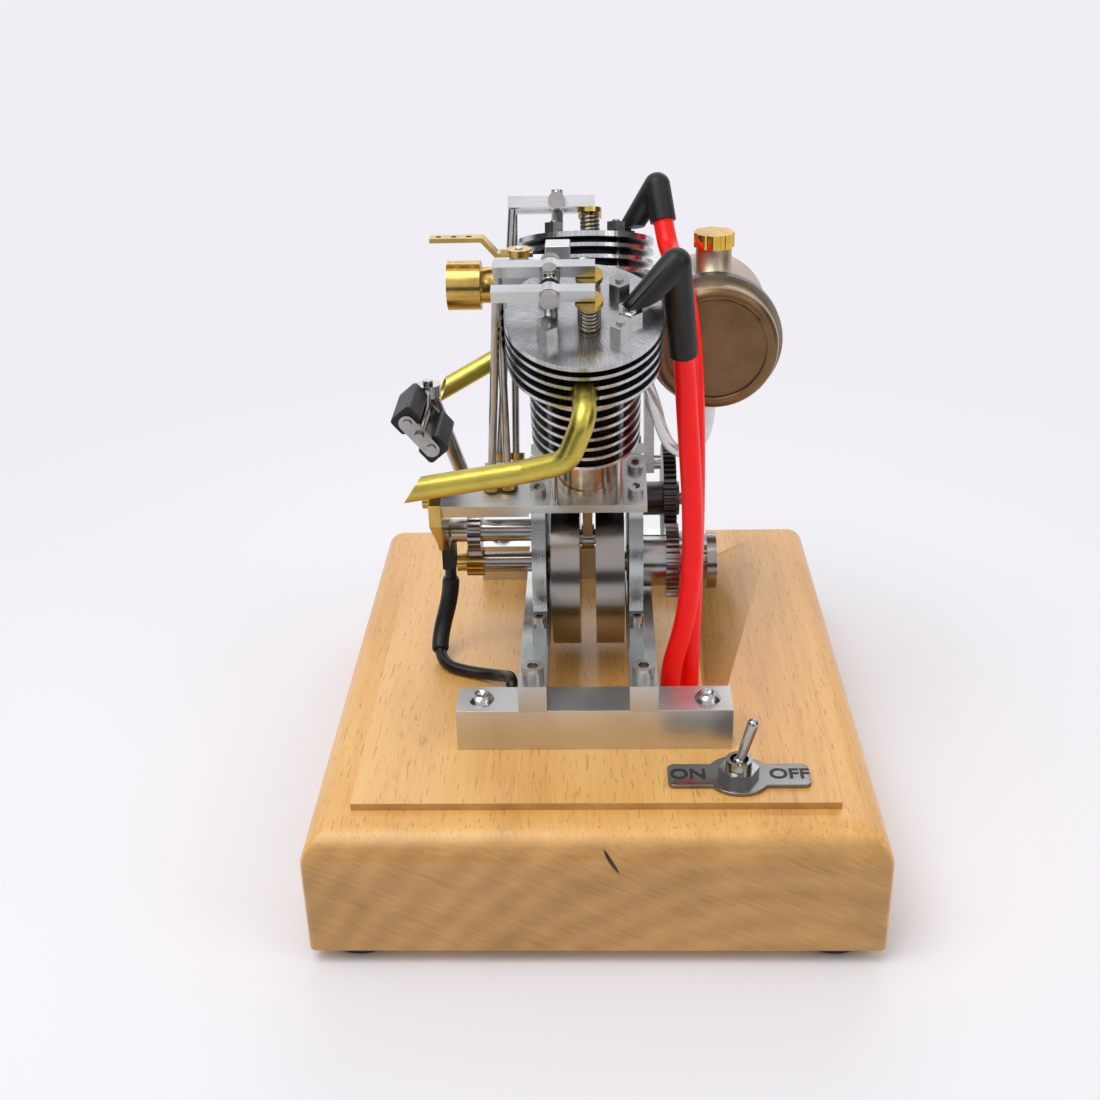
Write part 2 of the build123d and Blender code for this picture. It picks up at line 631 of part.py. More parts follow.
# ---- crankshaft, pistons and timing gears
def crankshaft():
    half_gap = WEB_GAP / 2
    webs = [xrod(ENGINE_X + sign * half_gap, ENGINE_X + sign * (half_gap + WEB_THICK), 0, CRANK_Z, WEB_RADIUS)
            for sign in (-1, 1)]
    pin = xrod(ENGINE_X - half_gap, ENGINE_X + half_gap, 0, CRANK_Z + CRANK_THROW, CRANK_PIN_RADIUS)
    left = xrod(CRANK_GEAR_X[1], ENGINE_X - half_gap, 0, CRANK_Z, SHAFT_RADIUS)
    left = left + xrod(-35.0, CRANK_GEAR_X[1], 0, CRANK_Z, STUB_RADIUS)
    right = xrod(ENGINE_X + half_gap, 29.0, 0, CRANK_Z, SHAFT_RADIUS)
    right = right + xrod(28.6, 31.0, 0, CRANK_Z, 7.2)
    ring = tube_ring((ENGINE_X - RING_WIDTH / 2, 0, CRANK_Z + CRANK_THROW),
                     (ENGINE_X + RING_WIDTH / 2, 0, CRANK_Z + CRANK_THROW), RING_RADIUS,
                     CRANK_PIN_RADIUS + RUNNING)
    return (webs[0] + webs[1] + pin + left + right).solid(), ring


save("crankshaft", *crankshaft())


def crank_pinion():
    wheel = gear(PINION_TEETH, *CRANK_GEAR_X, 0, CRANK_Z, 90.0)
    wheel = wheel + xrod(-34.9, CRANK_GEAR_X[0], 0, CRANK_Z, 2.3)
    return (wheel - xrod(-36, CRANK_GEAR_X[1] + 1, 0, CRANK_Z, STUB_RADIUS + 0.02)).solid()


save("crank_pinion", crank_pinion())


def camshaft():
    wheel = gear(CAM_TEETH, *CAM_GEAR_X, 0, CAM_Z, -90.0 + 180.0 / CAM_TEETH)
    shaft = xrod(CAM_GEAR_X[1], ENGINE_X - PLATE_OUTER - 0.3, 0, CAM_Z, CAM_SHAFT_RADIUS)
    stub = xrod(END_PLATE_X + 0.3, ENGINE_X - PLATE_INNER - 0.4, 0, CAM_Z, STUB_RADIUS)
    bush = xrod(-35.9, CAM_GEAR_X[0], 0, CAM_Z, 2.9)
    return (wheel + shaft + stub + bush).solid()


save("camshaft", camshaft())


def gear_end_plate():
    """The brass plate under the left end of the tappet block, with the camshaft's outer bearing."""
    top_front = at(-1, 0, BLOCK_S[1], DECK_LEVEL)[1:]
    top_back = at(-1, 0, BLOCK_S[0], DECK_LEVEL)[1:]
    points = [top_front, top_back, (3.5, 76.0), (5.0, 70.0), (3.0, 66.4), (-3.0, 66.4), (-6.0, 70.0),
              (top_front[0], 80.5)]
    right = END_PLATE_X + END_PLATE_THICK
    plate = yz_plate(points, END_PLATE_X, right)
    plate = plate - xrod(END_PLATE_X - 1, right + 1, 0, CAM_Z, STUB_RADIUS + RUNNING)
    x, y, z = at(-1, 0, 4.0, DECK_LEVEL - BLOCK_THICK / 2 - 0.6)
    seat = (END_PLATE_X, y, z)
    screw = small_screw(seat, (-1, 0, 0), END_PLATE_THICK - 0.4, 1.0, 1.9, 1.8)
    return (plate + screw).solid()


save("gear_end_plate", gear_end_plate())


def piston(side):
    body = axial(side, 0, 0, PISTON_CROWN - PISTON_LENGTH, PISTON_CROWN, BORE_RADIUS - RUNNING)
    body = body - axial(side, 0, 0, PISTON_CROWN - PISTON_LENGTH - 1, PISTON_CROWN - 2, BORE_RADIUS - 1.2)
    link = tilted_box(side, -1.2, 1.2, -1.8, 1.8, CRANK_THROW + RING_RADIUS + 1.2, PISTON_CROWN - 2)
    return (body + link).solid()


for cylinder, side in SIDES.items():
    save(f"{cylinder}_piston", piston(side))


# ---- kick start: gear, cross shaft, arm, folding pedal, and the clutch on the crankshaft
def mesh_angle():
    return math.degrees(math.atan2(KICK_Z - CRANK_Z, KICK_Y))


def starter_clutch():
    wheel = gear(CLUTCH_TEETH, *KICK_GEAR_X, 0, CRANK_Z, mesh_angle())
    body = wheel + xrod(ENGINE_X + PLATE_OUTER + 0.4, KICK_GEAR_X[0], 0, CRANK_Z, CLUTCH_RADIUS)
    body = body + xrod(KICK_GEAR_X[1], KICK_GEAR_X[1] + 2, 0, CRANK_Z, 5.0)
    return (body - xrod(10, 30, 0, CRANK_Z, SHAFT_RADIUS + RUNNING)).solid()


save("starter_clutch", starter_clutch())


def kick_gear():
    wheel = gear(KICK_TEETH, *KICK_GEAR_X, KICK_Y, KICK_Z, mesh_angle() + 180.0 + 180.0 / KICK_TEETH)
    wheel = wheel + xrod(ENGINE_X + PLATE_OUTER + 0.4, KICK_GEAR_X[1] + 1.2, KICK_Y, KICK_Z, 4.5)
    return (wheel - xrod(10, 30, KICK_Y, KICK_Z, KICK_SHAFT_RADIUS + 0.02)).solid()


save("kick_gear", kick_gear())

PEDAL_PIVOT = (-39.3, -3.0, 109.6)
ARM_ROUTE = [(ARM_X, KICK_Y, KICK_Z), (-33.8, 9.0, 84.0), (-36.6, 0.5, 99.0), PEDAL_PIVOT]


def kick_arm():
    shaft = xrod(ARM_X - 2.4, KICK_GEAR_X[1] + 2.2, KICK_Y, KICK_Z, KICK_SHAFT_RADIUS)
    hub = xrod(ARM_X - 2.4, ARM_X + 2.4, KICK_Y, KICK_Z, 3.6)
    arm = shaft + hub
    for start, end in zip(ARM_ROUTE, ARM_ROUTE[1:]):
        arm = arm + rod(start, end, ARM_RADIUS) + Solid.make_sphere(ARM_RADIUS, Plane(origin=end))
    x, y, z = PEDAL_PIVOT
    arm = arm - zrod(x, y, z - 1.6, z + 4, 4)
    return (arm + zrod(x, y, z - 1.8, z + 2.6, 1.2)).solid()


save("kick_arm", kick_arm())

PEDAL_AXIS_X, PEDAL_AXIS_Z = -39.6, 105.6
PEDAL_FRONT, PEDAL_BACK = -22.0, -6.0
RUBBER_SHIFT = (2.6, -3.1)
RUBBER_SPREAD = 1.15
RUBBER_SIZE = (4.8, 6.0, 1.0)


def pedal_frame():
    """Spindle, end plate with its screws, and the pivot eye round the arm's pin."""
    x, y, z = PEDAL_PIVOT
    eye = zrod(x, y, z - 1.3, z + 1.6, 3.0)
    spindle = rod((PEDAL_AXIS_X, PEDAL_FRONT - 2.4, PEDAL_AXIS_Z), (PEDAL_AXIS_X, PEDAL_BACK + 1.1, PEDAL_AXIS_Z), 1.2)
    neck = rod((PEDAL_AXIS_X, PEDAL_BACK + 0.3, PEDAL_AXIS_Z), (x, y - 2.4, z), 0.9)
    frame = eye + spindle + neck
    dx, dz = RUBBER_SHIFT
    ends = [(PEDAL_AXIS_X - dx, PEDAL_AXIS_Z - dz), (PEDAL_AXIS_X + dx, PEDAL_AXIS_Z + dz)]
    for y0 in (PEDAL_FRONT - 1.1, PEDAL_BACK):
        start, end = [Vector(px, y0 + 0.55, pz) for px, pz in ends]
        plane = Plane(origin=(start + end) / 2, x_dir=end - start, z_dir=(0, 1, 0))
        bar = extrude(plane * SlotOverall((end - start).length + 4.0, 3.7), 0.55, both=True)
        frame = frame + bar.solid()
        for px, pz in ends:
            frame = frame + rod((px, y0 - 0.7, pz), (px, y0 + 1.1, pz), 1.1)
    frame = frame - zrod(x, y, z - 3, z + 4, 1.2 + RUNNING)
    return frame.solid()


def pedal_rubber(sign):
    dx, dz = RUBBER_SHIFT
    centre = (PEDAL_AXIS_X + sign * dx * RUBBER_SPREAD, PEDAL_FRONT + 0.05,
              PEDAL_AXIS_Z + sign * dz * RUBBER_SPREAD)
    plane = Plane(origin=centre, x_dir=(dx, 0, dz), z_dir=(0, 1, 0))
    bar = extrude(plane * RectangleRounded(*RUBBER_SIZE), PEDAL_BACK - PEDAL_FRONT - 0.1, dir=(0, 1, 0))
    return (bar - rod((PEDAL_AXIS_X, PEDAL_FRONT - 3, PEDAL_AXIS_Z), (PEDAL_AXIS_X, 0, PEDAL_AXIS_Z), 1.25)).solid()


save("pedal_frame", pedal_frame())
save("pedal_rubbers", pedal_rubber(-1), pedal_rubber(1))


# ---- carburettor between the cylinders
def carburettor_body():
    body = block(*CARB_X, -CARB_HALF, CARB_HALF, 129.6, CARB_TOP)
    body = body + block(-10.4, CARB_X[1], -3.2, 3.2, CARB_TOP, 144.2)
    body = body + zrod(LEVER_PIVOT_X, 0, CARB_TOP, CARB_TOP + 0.9, 2.2)
    body = body - xrod(-23, -14, 0, CARB_Z, 3.0)
    body = body + zrod(LEVER_PIVOT_X, 0, CARB_TOP - 2, CARB_TOP + 3.0, 0.9)
    return body.solid()


def intake_bell():
    shell = xrod(BELL_X[0], BELL_X[1] - 3.2, 0, CARB_Z, BELL_RADIUS)
    shell = shell + xrod(BELL_X[1] - 3.2, BELL_X[1], 0, CARB_Z, 4.2)
    shell = shell - xrod(BELL_X[0] - 1, BELL_X[1] - 4.0, 0, CARB_Z, BELL_RADIUS - 0.8)
    return (shell - xrod(BELL_X[0], BELL_X[1] + 1, 0, CARB_Z, 3.0)).solid()


def intake_manifold():
    across = rod((ENGINE_X, -14, CARB_Z), (ENGINE_X, 14, CARB_Z), MANIFOLD_RADIUS)
    bore = rod((ENGINE_X, -15, CARB_Z), (ENGINE_X, 15, CARB_Z), MANIFOLD_RADIUS - 0.8)
    flange = xrod(CARB_X[1], ENGINE_X - 2.0, 0, CARB_Z, 2.4)
    return (across + flange - bore).solid()


def throttle_lever():
    """A strip that turns on the carburettor's top and steps up towards its free end."""
    z = CARB_TOP + 0.95
    plane = Plane(origin=(0, 0, 0), x_dir=(1, 0, 0), z_dir=(0, -1, 0))
    profile = Polyline((-13.2, z), (-22.0, z), (-25.2, z + 3.6), (-37.0, z + 3.6), (-37.0, z + 4.6),
                       (-24.7, z + 4.6), (-21.5, z + 1.0), (-13.2, z + 1.0), close=True)
    strip = extrude(plane * make_face(profile.edges()), 1.9, both=True).solid()
    strip = strip + zrod(LEVER_PIVOT_X, 0, z, z + 1.6, 2.9)
    for x in (-28.0, -31.5, -35.0):
        strip = strip - zrod(x, 0, z, z + 6, 0.7)
    return (strip - zrod(LEVER_PIVOT_X, 0, z - 1, z + 4, 0.9 + RUNNING)).solid()


save("carburettor_body", carburettor_body())
save("intake_bell", intake_bell())
save("intake_manifold", intake_manifold())
save("throttle_lever", throttle_lever())


# ---- fuel tank
def fuel_tank():
    def drum(y0, y1, radius):
        return rod((TANK_X, y0, TANK_Z), (TANK_X, y1, TANK_Z), radius)
    shell = drum(TANK_FRONT, TANK_BACK, TANK_RADIUS)
    shell = fillet(shell.edges().filter_by(GeomType.CIRCLE), 2.2)
    shell = shell + drum(TANK_RING_Y, TANK_RING_Y + 3.0, TANK_RING_RADIUS)
    shell = shell - drum(TANK_FRONT - 1, TANK_FRONT + 0.8, 12.4)
    neck = zrod(TANK_X, NECK_Y, TANK_Z + TANK_RADIUS - 1.5, NECK_TOP, NECK_RADIUS)
    outlet = zrod(TANK_X, NECK_Y, TANK_Z - TANK_RADIUS - 3.2, TANK_Z - TANK_RADIUS + 1, HOSE_RADIUS)
    shell = shell + neck + outlet
    shell = shell - drum(TANK_FRONT + 0.8 + TANK_WALL, TANK_BACK - TANK_WALL, TANK_RADIUS - TANK_WALL)
    return (shell - zrod(TANK_X, NECK_Y, TANK_Z, NECK_TOP + 1, NECK_RADIUS - 1)).solid()


def fuel_cap():
    cap = zrod(TANK_X, NECK_Y, NECK_TOP + 0.05, NECK_TOP + 0.05 + CAP_HEIGHT, CAP_RADIUS)
    for lobe in range(8):
        angle = math.radians(lobe * 45 + 22.5)
        cap = cap - zrod(TANK_X + 5.6 * math.cos(angle), NECK_Y + 5.6 * math.sin(angle), NECK_TOP,
                         NECK_TOP + 5, 1.0)
    plug = zrod(TANK_X, NECK_Y, NECK_TOP - 2.5, NECK_TOP + 0.1, NECK_RADIUS - 1 - RUNNING)
    return (cap + plug).solid()


def tank_bracket():
    left = ENGINE_X - 1.15 + DECK_WIDTH / 2 + 1.45
    plate = yz_plate([(4.5, 84.0), (9.5, 82.0), (27.0, 108.0), (27.0, 120.0), (16.0, 120.0)], left, left + 2.4)
    plate = plate - rod((TANK_X, 0, TANK_Z), (TANK_X, TANK_BACK + 5, TANK_Z), TANK_RADIUS + 0.02)
    plate = plate - rod((TANK_X, 0, TANK_Z), (TANK_X, TANK_RING_Y + 3.1, TANK_Z), TANK_RING_RADIUS + 0.1)
    screw = small_screw((left + 2.3, 7.0, 86.0), (1, 0, 0), 2.0, 1.0, 1.8, 1.8)
    return (plate + screw).solid()


save("fuel_tank", fuel_tank())
save("fuel_cap", fuel_cap())
save("tank_bracket", tank_bracket())


# ---- exhaust pipes: out of each head, down and to the left, with a slanting cut at the end
PIPE_ROUTES = {
    "front": [at(-1, 0, 12.2, PORT_LEVEL), (-1.3, -50.0, 120.0), (-5.0, -51.0, 110.8), (-14.0, -48.5, 107.6),
              (-41.2, -43.0, 100.8)],
    "rear": [at(1, 0, 12.2, PORT_LEVEL), (-1.3, 50.0, 120.0), (-6.0, 50.0, 112.0), (-16.0, 46.0, 106.6),
             (-42.5, 37.0, 94.0)],
}


SLASH_SLOPE = 0.95


def exhaust_pipe(name):
    route = [Vector(*p) for p in PIPE_ROUTES[name]]
    path = FilletPolyline(*route, radius=5.2)
    plane = Plane(origin=route[0], z_dir=route[1] - route[0])
    pipe = sweep(plane * Circle(PIPE_RADIUS), path=path) - sweep(plane * Circle(PIPE_RADIUS - PIPE_WALL), path=path)
    tip, along = route[-1], (route[-1] - route[-2]).normalized()
    across = Vector(0, -1, 0)
    up = across.cross(along).normalized()
    if up.Z < 0:
        up = up * -1
    lean = (along * SLASH_SLOPE + up).normalized()
    cutter_plane = Plane(origin=tip - up * PIPE_RADIUS * 0.8, x_dir=along, z_dir=lean)
    cutter = Pos(0, 0, 10) * Box(60, 30, 20)
    return (pipe - cutter_plane * cutter).solid()


save("exhaust_pipes", exhaust_pipe("front"), exhaust_pipe("rear"))


# ---- leads and hose
def boot_exit(name):
    """The lead's first two points: inside the boot's socket and straight below it."""
    elbow, bottom = BOOT_ROUTES[name]
    up = (Vector(*elbow) - Vector(*bottom)).normalized()
    points = [tuple(Vector(*bottom) + up * SOCKET_DEPTH), tuple(Vector(*bottom) - up * EXIT_RUN)]
    print(name, "exit", [[round(c, 3) for c in point] for point in points])
    return points


FRONT_LEAD = boot_exit("front") + [(21.9, -19.6, 109.0), (22.9, -20.6, 96.0),
              (23.7, -21.2, 82.0), (23.6, -22.0, 68.0), (22.0, -23.8, 56.0), (19.0, -26.6, 47.0), (18.4, -28.6, 41.5),
              (18.4, -28.6, PANEL_TOP)]
REAR_LEAD = boot_exit("rear") + [(19.8, 18.6, 135.8), (20.8, 12.5, 135.0), (22.2, 3.0, 131.6), (23.4, -5.5, 123.0),
             (24.0, -11.2, 110.5), (24.3, -14.4, 96.0), (24.4, -15.4, 81.0), (24.3, -16.0, 66.0), (24.0, -18.2, 53.0),
             (23.4, -22.2, 43.5), (23.4, -22.2, PANEL_TOP)]
PICKUP_LEAD = [(-36.9, 0.3, 60.6), (-36.9, 0.3, 55.5), (-38.0, -0.6, 49.5), (-39.8, -2.9, 43.6), (-40.2, -7.4, 39.4),
               (-37.9, -12.6, 38.3), (-32.6, -15.4, 38.25), (-26.6, -17.6, 38.6), (-22.4, -21.2, 40.2),
               (-20.5, -26.0, 43.0), (-20.0, -30.6, 42.6), (-20.0, -30.6, PANEL_TOP)]
FUEL_HOSE = [(30.2, 20.0, 97.35), (30.15, 19.9, 92.5), (28.6, 18.2, 87.6), (24.6, 13.8, 85.2), (20.0, 9.6, 88.5),
             (17.2, 6.4, 95.0), (15.6, 3.6, 103.0), (12.6, 1.6, 111.0), (8.0, 0.4, 118.0), (2.4, 0.1, 123.0),
             (-3.2, 0.0, 124.2), (-7.2, 0.0, 125.0),
             (-8.4, 0.0, 126.6), (-8.4, 0.0, 129.58)]
save("front_plug_lead", cord_tube("front_plug_lead", FRONT_LEAD, LEAD_RADIUS))
save("rear_plug_lead", cord_tube("rear_plug_lead", REAR_LEAD, LEAD_RADIUS))
save("pickup_lead", cord_tube("pickup_lead", PICKUP_LEAD, CABLE_RADIUS))
save("fuel_hose", cord_tube("fuel_hose", FUEL_HOSE, HOSE_RADIUS))


def pickup_sensor():
    """The sensor under the brass end plate, with the sleeve that grips its lead."""
    body = block(-38.6, -35.2, -2.2, 2.8, 60.6, 66.35)
    return body.solid()


save("pickup_sensor", pickup_sensor())


# ---- toggle switch with its plate
def switch_plate():
    plane = Plane(origin=(SWITCH_X, SWITCH_Y, PANEL_TOP))
    tabs = extrude(plane * RectangleRounded(32, 8.4, 1.6), 1.0)
    disc = zrod(SWITCH_X, SWITCH_Y, PANEL_TOP, PANEL_TOP + 1.0, 7.4)
    return (tabs + disc - zrod(SWITCH_X, SWITCH_Y, PANEL_TOP - 1, PANEL_TOP + 3, BUSHING_RADIUS + 0.1)).solid()


SWITCH_PIVOT_Z = PANEL_TOP + 4.2


def switch_body():
    half = SWITCH_BODY_HALF
    body = block(SWITCH_X - half, SWITCH_X + half, SWITCH_Y - half, SWITCH_Y + half, SWITCH_BODY_TOP - 13,
                 SWITCH_BODY_TOP)
    body = body + zrod(SWITCH_X, SWITCH_Y, SWITCH_BODY_TOP, PANEL_TOP + 5.2, BUSHING_RADIUS)
    return (body - zrod(SWITCH_X, SWITCH_Y, PANEL_TOP + 1.5, PANEL_TOP + 6, 2.1)).solid()


def switch_nut():
    nut = hexagon((SWITCH_X, SWITCH_Y, PANEL_TOP + 1.0), (0, 0, 1), 8.0, 2.0)
    return (nut - zrod(SWITCH_X, SWITCH_Y, PANEL_TOP, PANEL_TOP + 5, BUSHING_RADIUS + 0.02)).solid()


def switch_lever():
    lean = math.radians(SWITCH_LEAN)
    pivot = Vector(SWITCH_X, SWITCH_Y, SWITCH_PIVOT_Z)
    way = Vector(math.sin(lean), 0, math.cos(lean))
    lever = Solid.make_sphere(1.6, Plane(origin=pivot)) + Solid.make_cone(1.0, 1.35, 10.5, Plane(origin=pivot, z_dir=way))
    return (lever + Solid.make_sphere(1.35, Plane(origin=pivot + way * 10.5))).solid()


save("switch_plate", switch_plate())
save("switch_body", switch_body())
save("switch_nut", switch_nut())
save("switch_lever", switch_lever())
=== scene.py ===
import json
import math

import bmesh
import bpy
from mathutils import Euler, Matrix, Vector


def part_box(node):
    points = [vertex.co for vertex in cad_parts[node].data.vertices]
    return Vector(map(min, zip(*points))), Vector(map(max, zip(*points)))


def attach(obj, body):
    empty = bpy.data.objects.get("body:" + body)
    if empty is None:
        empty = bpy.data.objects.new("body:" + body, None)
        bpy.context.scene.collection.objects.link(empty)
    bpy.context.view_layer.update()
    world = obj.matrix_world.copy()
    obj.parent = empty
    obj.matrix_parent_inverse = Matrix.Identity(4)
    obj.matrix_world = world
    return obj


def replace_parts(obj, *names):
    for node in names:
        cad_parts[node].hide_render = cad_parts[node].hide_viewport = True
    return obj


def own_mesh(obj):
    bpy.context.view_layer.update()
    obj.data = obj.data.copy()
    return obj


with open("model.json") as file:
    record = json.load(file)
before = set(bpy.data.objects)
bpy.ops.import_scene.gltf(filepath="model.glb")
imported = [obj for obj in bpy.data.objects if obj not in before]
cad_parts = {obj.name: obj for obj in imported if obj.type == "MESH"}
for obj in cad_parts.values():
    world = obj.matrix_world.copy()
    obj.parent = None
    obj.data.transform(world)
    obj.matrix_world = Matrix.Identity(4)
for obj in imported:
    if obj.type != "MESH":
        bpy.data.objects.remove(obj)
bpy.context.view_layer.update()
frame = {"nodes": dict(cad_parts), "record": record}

MM = 0.001
WHITE = (1.0, 1.0, 1.0, 1.0)

# ---- the engine's own geometry, in metres
ENGINE_X = -1.35 * MM
CRANK_Z = 61.6 * MM
TILT = math.radians(22.5)
SIDES = {"front": -1, "rear": 1}
HEAD_TOP = 81.2 * MM
VALVE_X = 1.2 * MM
VALVE_S = 4.1 * MM
HEAD_RIM = 17.2 * MM
BARREL_RIM = 12.6 * MM
FIN_SHADE = 0.7 * MM
FIN_FADE = 2.2 * MM
LOWEST_FIN = 46.0 * MM
# near-black colour of the painted shade in the gaps between fins
GAP_SHADE_COLOUR = (0.035, 0.034, 0.033)


def at(side, x, s, h):
    """A point of a cylinder: x along the crank, s outwards, h up its axis from the crank centre."""
    return Vector((ENGINE_X + x, side * (h * math.sin(TILT) + s * math.cos(TILT)),
                   CRANK_Z + h * math.cos(TILT) - s * math.sin(TILT)))


# ---- shader maths written as expressions
class Value:
    """A number socket of a material that can be added to, multiplied and compared."""

    def __init__(self, paint, socket):
        self.paint, self.socket = paint, socket

    def maths(self, operation, *others, clamp=False):
        return self.paint.node("ShaderNodeMath", {"operation": operation, "use_clamp": clamp},
                               [self, *others])[0]

    def __add__(self, other):
        return self.maths("ADD", other)

    def __sub__(self, other):
        return self.maths("SUBTRACT", other)

    def __rsub__(self, other):
        return self.paint.number(other).maths("SUBTRACT", self)

    def __mul__(self, other):
        return self.maths("MULTIPLY", other)

    def clamped(self):
        return self.maths("ADD", 0.0, clamp=True)

    def power(self, other):
        return self.maths("POWER", other)

    __radd__, __rmul__ = __add__, __mul__


class Paint:
    """A material under construction, with one Principled shader."""

    def __init__(self, name, **settings):
        self.material = bpy.data.materials.new(name)
        self.material.use_nodes = True
        self.tree = self.material.node_tree
        self.shader = next(n for n in self.tree.nodes if n.type == "BSDF_PRINCIPLED")
        for key, value in settings.items():
            self.shader.inputs[key.replace("_", " ")].default_value = value

    def node(self, kind, settings, values):
        made = self.tree.nodes.new(kind)
        for key, value in settings.items():
            if key == "stops":
                ramp = made.color_ramp
                while len(ramp.elements) < len(value):
                    ramp.elements.new(0.5)
                for element, (place, colour) in zip(ramp.elements, value):
                    element.position, element.color = place, (*colour, 1.0)[:4]
            else:
                setattr(made, key, value)
        items = values.items() if isinstance(values, dict) else enumerate(values)
        for key, value in items:
            self.feed(made.inputs[key], value)
        return [Value(self, out) for out in made.outputs]

    def feed(self, socket, value):
        if isinstance(value, Value):
            self.tree.links.new(value.socket, socket)
        elif isinstance(value, tuple) and len(value) == 3 and socket.type == "RGBA":
            socket.default_value = (*value, 1.0)
        else:
            socket.default_value = value

    def number(self, value):
        made = self.tree.nodes.new("ShaderNodeValue")
        made.outputs[0].default_value = value
        return Value(self, made.outputs[0])

    def place(self, location=(0, 0, 0), turn=(0, 0, 0), scale=(1, 1, 1)):
        coordinates = self.node("ShaderNodeTexCoord", {}, {})[3]
        return self.node("ShaderNodeMapping", {"vector_type": "TEXTURE"},
                         {"Vector": coordinates, "Location": location, "Rotation": turn, "Scale": scale})[0]

    def noise(self, where, size, detail=3.0, rough=0.5, distortion=0.0):
        return self.node("ShaderNodeTexNoise", {}, {"Vector": where, "Scale": 1 / size, "Detail": detail,
                                                     "Roughness": rough, "Distortion": distortion})[0]

    def ramp(self, value, stops):
        return self.node("ShaderNodeValToRGB", {"stops": stops}, {0: value})[0]

    def blend(self, share, first, second, mode="MIX"):
        return self.node("ShaderNodeMix", {"data_type": "RGBA", "blend_type": mode},
                         {0: share, 6: first, 7: second})[2]

    def bump(self, height, distance, strength=1.0):
        normal = self.node("ShaderNodeBump", {}, {"Height": height, "Distance": distance,
                                                  "Strength": strength})[0]
        self.set("Normal", normal)

    def set(self, name, value):
        self.feed(self.shader.inputs[name], value)


def grey(level):
    return (level, level, level)


def machined(name, colour, rough, along, wear=0.08, lines=0.00025):
    """Metal with fine tool marks that run along one axis, and faint clouding."""
    paint = Paint(name, Metallic=1.0)
    stretch = [1.0, 1.0, 1.0]
    stretch["XYZ".index(along)] = 40.0
    marks = paint.noise(paint.place(scale=tuple(stretch)), lines, 2.0)
    cloud = paint.noise(paint.place(), 0.012, 3.0)
    dark = tuple(c * (1 - wear * 2.2) for c in colour)
    paint.set("Base Color", paint.ramp(cloud * 0.6 + marks * 0.4, [(0.3, dark), (0.7, colour)]))
    paint.set("Roughness", marks * 0.22 + cloud * 0.12 + (rough - 0.17))
    paint.bump(marks, 0.00002, 0.35)
    return paint.material


def polished(name, colour, rough, wear=0.1, blotch=0.006):
    """Bright metal with faint stains and hairline scratches."""
    paint = Paint(name, Metallic=1.0)
    cloud = paint.noise(paint.place(), blotch, 4.0, 0.6)
    hair = paint.noise(paint.place(scale=(1, 14, 3)), 0.0004, 2.0)
    dark = tuple(c * (1 - wear * 2.5) for c in colour)
    paint.set("Base Color", paint.ramp(cloud, [(0.32, dark), (0.62, colour)]))
    paint.set("Roughness", cloud * 0.14 + hair * 0.08 + (rough - 0.1))
    paint.bump(hair, 0.00001, 0.3)
    return paint.material


def turned(name, side, rim, colour):
    """Fins turned about a cylinder's own axis: bright rims, painted shade darkening the gaps between fins, and a
    brushed top that fans out.
    """
    paint = Paint(name, Metallic=1.0)
    where = paint.place(location=tuple(at(side, 0, 0, 0)), turn=(-side * TILT, 0, 0))
    x, y, height = paint.node("ShaderNodeSeparateXYZ", {}, [where])
    radius = (x * x + y * y).power(0.5)
    # painted shade: the colour darkens towards the axis between the fins, below the head top and above the lowest fin
    inside = ((rim - FIN_SHADE - radius) * (1 / FIN_FADE)).clamped()
    below_top = ((HEAD_TOP - 0.3 * MM - height) * 10000.0).clamped()
    painted_gap_shade = inside * below_top * ((height - LOWEST_FIN) * 10000.0).clamped()
    heading = y.maths("ARCTAN2", x)
    fan = paint.node("ShaderNodeCombineXYZ", {}, [heading * 9.0, radius * 60.0, 0.0])[0]
    rays = paint.node("ShaderNodeTexNoise", {}, {"Vector": fan, "Scale": 6.0, "Detail": 3.0})[0]
    cloud = paint.noise(paint.place(), 0.005, 3.0)
    dark = tuple(c * 0.62 for c in colour)
    bright = paint.ramp(cloud * 0.35 + rays * 0.65, [(0.36, dark), (0.62, colour)])
    liner = ((LOWEST_FIN - height) * 10000.0).clamped()
    bright = paint.blend(liner, bright, paint.ramp(cloud, [(0.35, (0.30, 0.22, 0.14)), (0.65, (0.52, 0.43, 0.33))]))
    paint.set("Base Color", paint.blend(painted_gap_shade, bright, GAP_SHADE_COLOUR))
    paint.set("Roughness", rays * 0.16 + cloud * 0.06 + 0.12 + painted_gap_shade * 0.3)
    paint.bump(rays, 0.00002, 0.35)
    return paint.material


# the end grain's ring centre and ray slope, and the short crack in the front edge
RING_HEART = (0.045, 0.0, -0.055)
RAY_SLOPE = 0.45
CRACK = (0.0035, -0.0795, 0.0285)
CRACK_LEAN = -0.55
CRACK_SIZE = (0.0005, 0.006, 0.0036)


